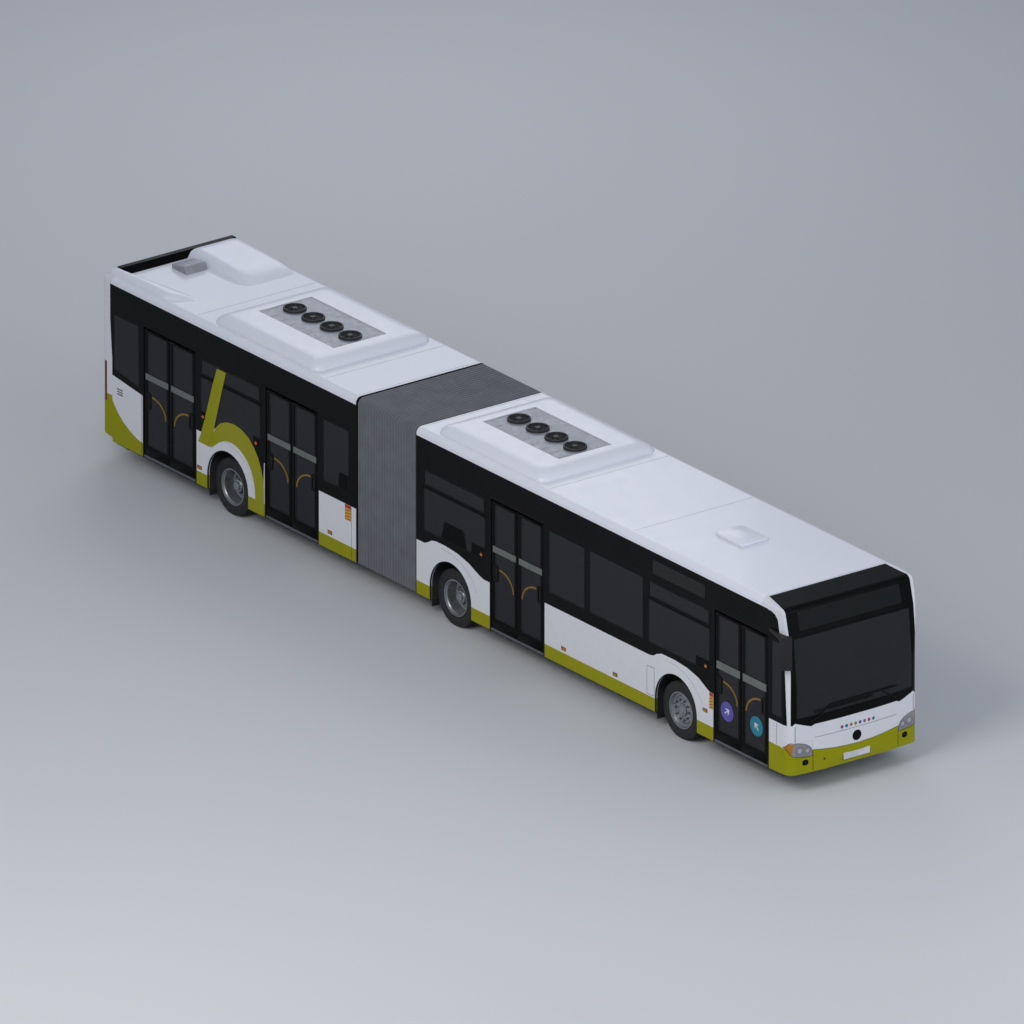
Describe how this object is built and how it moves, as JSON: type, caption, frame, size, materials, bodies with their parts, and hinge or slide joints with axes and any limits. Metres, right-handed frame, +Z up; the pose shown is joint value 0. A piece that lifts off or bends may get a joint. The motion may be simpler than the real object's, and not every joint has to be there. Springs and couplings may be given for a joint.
{
  "type": "articulated bus",
  "caption": "Low-floor articulated city bus: two sections on three axles hinged at a turntable inside grey bellows, with inward-gliding double doors, steered front wheels and roof air units.",
  "frame": {"origin": "on the ground under the middle of the bus's length and width", "axes": "+X forward, +Y to the left side, +Z up"},
  "size_m": [18.28, 2.8663, 3.3],
  "materials": {
    "body_paint": "gloss white paint with an olive skirt and a black window band",
    "glass": "dark tinted",
    "lamp_lens": "clear grey lens with an amber corner",
    "tail_lens": "dark red lens",
    "mirror_housing": "fine grained",
    "seat": "woven plush pad on a plastic shell",
    "rail": "smooth powder coat",
    "chassis": "painted dark grey",
    "floor": "studded dark grey covering",
    "bellows": "coated fabric, matt",
    "tyre": "matt black",
    "rim": "silver paint",
    "door_black": "gloss black",
    "door_steel": "brushed"
  },
  "bodies": {
    "front_section": {"front_underframe": "floor", "front_left_side": "body_paint", "front_right_side": "body_paint", "front_roof": "body_paint", "front_end": "body_paint", "windscreen": "glass", "front_side_windows": "glass", "front_roof_unit": "body_paint", "headlamps": "lamp_lens", "mirrors": "mirror_housing", "driver_cab": "mirror_housing", "front_seats": "seat", "front_handrails": "rail", "front_axle": "chassis", "middle_axle": "chassis"},
    "rear_section": {"rear_underframe": "floor", "turntable": "floor", "rear_left_side": "body_paint", "rear_right_side": "body_paint", "rear_roof": "body_paint", "rear_end": "body_paint", "rear_windows": "glass", "rear_roof_unit": "body_paint", "rear_fairings": "body_paint", "engine": "chassis", "rear_axle": "chassis", "rear_seats": "seat", "rear_handrails": "rail", "tail_lamps": "tail_lens", "bellows": "bellows"},
    "left_knuckle": {"left_knuckle": "chassis"},
    "right_knuckle": {"right_knuckle": "chassis"},
    "front_left_wheel": {"front_left_tyre": "tyre", "front_left_rim": "rim"},
    "front_right_wheel": {"front_right_tyre": "tyre", "front_right_rim": "rim"},
    "middle_left_wheels": {"middle_left_tyres": "tyre", "middle_left_rims": "rim"},
    "middle_right_wheels": {"middle_right_tyres": "tyre", "middle_right_rims": "rim"},
    "rear_left_wheels": {"rear_left_tyres": "tyre", "rear_left_rims": "rim"},
    "rear_right_wheels": {"rear_right_tyres": "tyre", "rear_right_rims": "rim"},
    "door_1_rear_column": {"door_1_rear_column": "door_steel"},
    "door_1_rear_leaf": {"door_1_rear_leaf": "door_black"},
    "door_1_front_column": {"door_1_front_column": "door_steel"},
    "door_1_front_leaf": {"door_1_front_leaf": "door_black"},
    "door_2_rear_column": {"door_2_rear_column": "door_steel"},
    "door_2_rear_leaf": {"door_2_rear_leaf": "door_black"},
    "door_2_front_column": {"door_2_front_column": "door_steel"},
    "door_2_front_leaf": {"door_2_front_leaf": "door_black"},
    "door_3_rear_column": {"door_3_rear_column": "door_steel"},
    "door_3_rear_leaf": {"door_3_rear_leaf": "door_black"},
    "door_3_front_column": {"door_3_front_column": "door_steel"},
    "door_3_front_leaf": {"door_3_front_leaf": "door_black"},
    "door_4_rear_column": {"door_4_rear_column": "door_steel"},
    "door_4_rear_leaf": {"door_4_rear_leaf": "door_black"},
    "door_4_front_column": {"door_4_front_column": "door_steel"},
    "door_4_front_leaf": {"door_4_front_leaf": "door_black"}
  },
  "joints": [
    {"name": "articulation", "type": "hinge", "parent": "front_section", "child": "rear_section", "pos_m": [-1.45, 0, 0.26], "axis": [0, 0, 1], "range_deg": [-50, 50], "deforming": ["bellows"]},
    {"name": "left_steering", "type": "hinge", "parent": "front_section", "child": "left_knuckle", "pos_m": [6.13, 0.93, 0.478], "axis": [0, 0, 1], "range_deg": [-45, 45]},
    {"name": "right_steering", "type": "hinge", "parent": "front_section", "child": "right_knuckle", "pos_m": [6.13, -0.93, 0.478], "axis": [0, 0, 1], "range_deg": [-45, 45]},
    {"name": "front_left_roll", "type": "hinge", "parent": "left_knuckle", "child": "front_left_wheel", "pos_m": [6.13, 1.05, 0.478], "axis": [0, 1, 0], "continuous": true},
    {"name": "front_right_roll", "type": "hinge", "parent": "right_knuckle", "child": "front_right_wheel", "pos_m": [6.13, -1.05, 0.478], "axis": [0, 1, 0], "continuous": true},
    {"name": "middle_left_roll", "type": "hinge", "parent": "front_section", "child": "middle_left_wheels", "pos_m": [0.232, 1.05, 0.478], "axis": [0, 1, 0], "continuous": true},
    {"name": "middle_right_roll", "type": "hinge", "parent": "front_section", "child": "middle_right_wheels", "pos_m": [0.232, -1.05, 0.478], "axis": [0, 1, 0], "continuous": true},
    {"name": "rear_left_roll", "type": "hinge", "parent": "rear_section", "child": "rear_left_wheels", "pos_m": [-5.669, 1.05, 0.478], "axis": [0, 1, 0], "continuous": true},
    {"name": "rear_right_roll", "type": "hinge", "parent": "rear_section", "child": "rear_right_wheels", "pos_m": [-5.669, -1.05, 0.478], "axis": [0, 1, 0], "continuous": true},
    {"name": "door_1", "type": "hinge", "parent": "front_section", "child": "door_1_rear_column", "pos_m": [7.112, -1.195, 1.4], "axis": [0, 0, 1], "range_deg": [0, 90]},
    {"name": "door_1_front_turn", "type": "hinge", "parent": "front_section", "child": "door_1_front_column", "pos_m": [8.534, -1.195, 1.4], "axis": [0, 0, 1], "range_deg": [-90, 0]},
    {"name": "door_1_rear_leaf_turn", "type": "hinge", "parent": "door_1_rear_column", "child": "door_1_rear_leaf", "pos_m": [7.482, -1.195, 1.4], "axis": [0, 0, 1], "range_deg": [-180, 0]},
    {"name": "door_1_front_leaf_turn", "type": "hinge", "parent": "door_1_front_column", "child": "door_1_front_leaf", "pos_m": [8.164, -1.195, 1.4], "axis": [0, 0, 1], "range_deg": [0, 180]},
    {"name": "door_2", "type": "hinge", "parent": "front_section", "child": "door_2_rear_column", "pos_m": [1.275, -1.195, 1.4], "axis": [0, 0, 1], "range_deg": [0, 90]},
    {"name": "door_2_front_turn", "type": "hinge", "parent": "front_section", "child": "door_2_front_column", "pos_m": [2.697, -1.195, 1.4], "axis": [0, 0, 1], "range_deg": [-90, 0]},
    {"name": "door_2_rear_leaf_turn", "type": "hinge", "parent": "door_2_rear_column", "child": "door_2_rear_leaf", "pos_m": [1.645, -1.195, 1.4], "axis": [0, 0, 1], "range_deg": [-180, 0]},
    {"name": "door_2_front_leaf_turn", "type": "hinge", "parent": "door_2_front_column", "child": "door_2_front_leaf", "pos_m": [2.327, -1.195, 1.4], "axis": [0, 0, 1], "range_deg": [0, 180]},
    {"name": "door_3", "type": "hinge", "parent": "rear_section", "child": "door_3_rear_column", "pos_m": [-4.674, -1.195, 1.4], "axis": [0, 0, 1], "range_deg": [0, 90]},
    {"name": "door_3_front_turn", "type": "hinge", "parent": "rear_section", "child": "door_3_front_column", "pos_m": [-3.252, -1.195, 1.4], "axis": [0, 0, 1], "range_deg": [-90, 0]},
    {"name": "door_3_rear_leaf_turn", "type": "hinge", "parent": "door_3_rear_column", "child": "door_3_rear_leaf", "pos_m": [-4.304, -1.195, 1.4], "axis": [0, 0, 1], "range_deg": [-180, 0]},
    {"name": "door_3_front_leaf_turn", "type": "hinge", "parent": "door_3_front_column", "child": "door_3_front_leaf", "pos_m": [-3.622, -1.195, 1.4], "axis": [0, 0, 1], "range_deg": [0, 180]},
    {"name": "door_4", "type": "hinge", "parent": "rear_section", "child": "door_4_rear_column", "pos_m": [-7.928, -1.195, 1.4], "axis": [0, 0, 1], "range_deg": [0, 90]},
    {"name": "door_4_front_turn", "type": "hinge", "parent": "rear_section", "child": "door_4_front_column", "pos_m": [-6.506, -1.195, 1.4], "axis": [0, 0, 1], "range_deg": [-90, 0]},
    {"name": "door_4_rear_leaf_turn", "type": "hinge", "parent": "door_4_rear_column", "child": "door_4_rear_leaf", "pos_m": [-7.558, -1.195, 1.4], "axis": [0, 0, 1], "range_deg": [-180, 0]},
    {"name": "door_4_front_leaf_turn", "type": "hinge", "parent": "door_4_front_column", "child": "door_4_front_leaf", "pos_m": [-6.876, -1.195, 1.4], "axis": [0, 0, 1], "range_deg": [0, 180]}
  ],
  "couplings": [
    {"joint": "right_steering", "follows": "left_steering", "ratio": 1},
    {"joint": "door_1_front_turn", "follows": "door_1", "ratio": -1},
    {"joint": "door_1_rear_leaf_turn", "follows": "door_1", "ratio": -2},
    {"joint": "door_1_front_leaf_turn", "follows": "door_1", "ratio": 2},
    {"joint": "door_2_front_turn", "follows": "door_2", "ratio": -1},
    {"joint": "door_2_rear_leaf_turn", "follows": "door_2", "ratio": -2},
    {"joint": "door_2_front_leaf_turn", "follows": "door_2", "ratio": 2},
    {"joint": "door_3_front_turn", "follows": "door_3", "ratio": -1},
    {"joint": "door_3_rear_leaf_turn", "follows": "door_3", "ratio": -2},
    {"joint": "door_3_front_leaf_turn", "follows": "door_3", "ratio": 2},
    {"joint": "door_4_front_turn", "follows": "door_4", "ratio": -1},
    {"joint": "door_4_rear_leaf_turn", "follows": "door_4", "ratio": -2},
    {"joint": "door_4_front_leaf_turn", "follows": "door_4", "ratio": 2}
  ]
}
